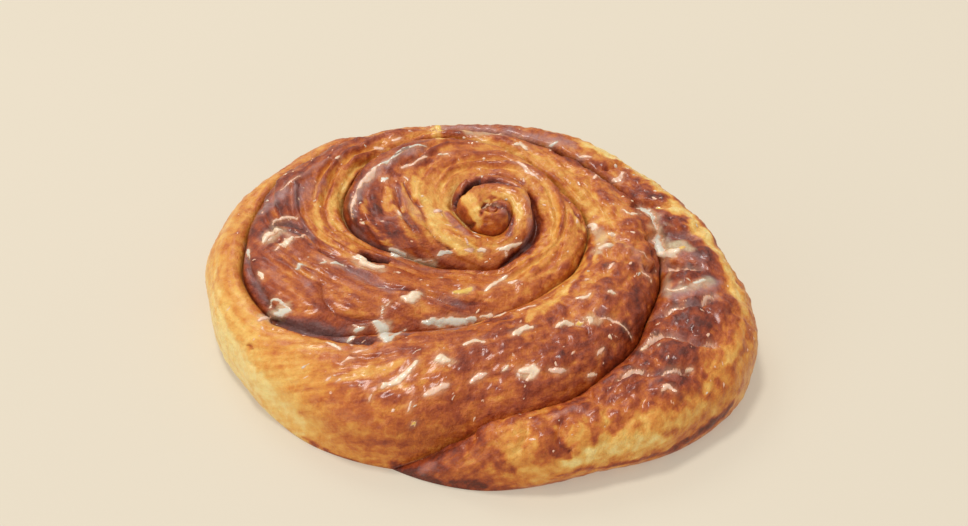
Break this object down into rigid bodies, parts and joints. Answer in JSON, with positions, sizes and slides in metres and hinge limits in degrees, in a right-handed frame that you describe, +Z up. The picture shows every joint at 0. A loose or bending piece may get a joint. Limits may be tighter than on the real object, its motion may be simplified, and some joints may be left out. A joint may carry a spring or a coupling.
{
  "type": "cinnamon roll",
  "caption": "Flat spiral pastry of rolled laminated dough with a browned, glazed crust and a tucked tail; rests on its flat base.",
  "frame": {"origin": "middle of the roll's width and depth, on the flat base it rests on", "axes": "+Z up through the swirl; +X to the right of the view in which the tail's end lies at the front, along the greatest width; +Y to the back"},
  "size_m": [0.12, 0.1058, 0.0242],
  "materials": {
    "crust": "browned, egg-washed crust with thin sugar glaze"
  },
  "bodies": {
    "root": {"roll": "crust"}
  },
  "joints": []
}
